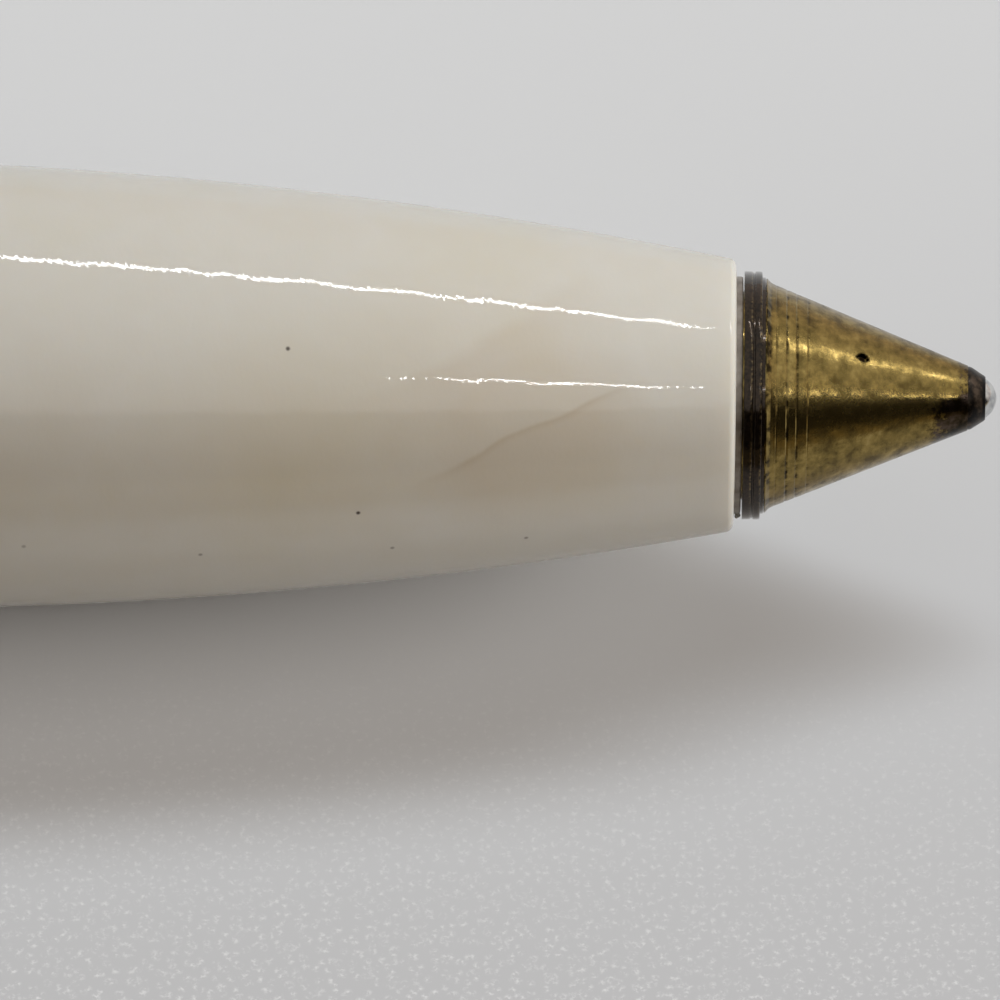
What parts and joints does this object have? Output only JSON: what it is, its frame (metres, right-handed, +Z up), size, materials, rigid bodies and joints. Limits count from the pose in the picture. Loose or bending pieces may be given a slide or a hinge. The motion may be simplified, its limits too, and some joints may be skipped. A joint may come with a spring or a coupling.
{
  "type": "twist ballpoint pen",
  "caption": "Short twist-action ballpoint for a purse: marbled resin barrels, brass cone, bands and cap. Turning the rear half draws the refill in; it also pulls off to reach the mechanism.",
  "frame": {"origin": "halfway along the pen, on the surface that it lies on", "axes": "+X towards the writing point along the pen, +Z up, +Y to the left of the point"},
  "size_m": [0.106, 0.01, 0.01],
  "materials": {
    "resin": "cast white marbled resin, turned and polished to a high gloss",
    "worn_brass": "turned brass, worn through its plating and tarnished",
    "dark_brass": "brass with a nearly black patina",
    "tube_brass": "drawn brass tube",
    "spring_steel": "hardened steel, bright",
    "stained_steel": "turned nickel silver, stained with dried ink",
    "ball_steel": "lapped and polished",
    "acetal": "machined white acetal",
    "nitrile": "moulded black nitrile",
    "ink": "thick ballpoint ink",
    "grease": "clear amber grease"
  },
  "bodies": {
    "front_half": {"front_barrel": "resin", "front_liner": "tube_brass", "nose_cone": "worn_brass", "nose_ring": "dark_brass", "mechanism_base": "tube_brass", "retaining_clip": "spring_steel", "band_front_ring": "dark_brass", "centre_band": "worn_brass", "band_rear_ring": "dark_brass"},
    "cam": {"cam_sleeve": "tube_brass", "sleeve_plug": "acetal", "grip_ring": "nitrile"},
    "rear_half": {"rear_barrel": "resin", "rear_liner": "tube_brass", "tail_ring": "dark_brass", "tail_cap": "worn_brass"},
    "refill": {"refill_carrier": "acetal", "follower_pin": "spring_steel", "refill_tube": "tube_brass", "refill_point": "stained_steel", "refill_ink": "ink", "ink_follower": "grease"},
    "ball": {"writing_ball": "ball_steel"}
  },
  "joints": [
    {"name": "rear_twist", "type": "hinge", "parent": "front_half", "child": "cam", "pos_m": [-0.0089, 0, 0.005], "axis": [1, 0, 0], "range_deg": [-180, 0]},
    {"name": "rear_pull_off", "type": "slide", "parent": "cam", "child": "rear_half", "axis": [-1, 0, 0], "range_m": [0, 0.026]},
    {"name": "refill_travel", "type": "slide", "parent": "front_half", "child": "refill", "axis": [1, 0, 0], "range_m": [-0.004, 0]},
    {"name": "ball_roll", "type": "hinge", "parent": "refill", "child": "ball", "pos_m": [0.0525, 0, 0.005], "axis": [0, 1, 0], "continuous": true}
  ],
  "couplings": [
    {"joint": "rear_twist", "follows": "refill_travel", "rad_per_m": 785.4}
  ]
}
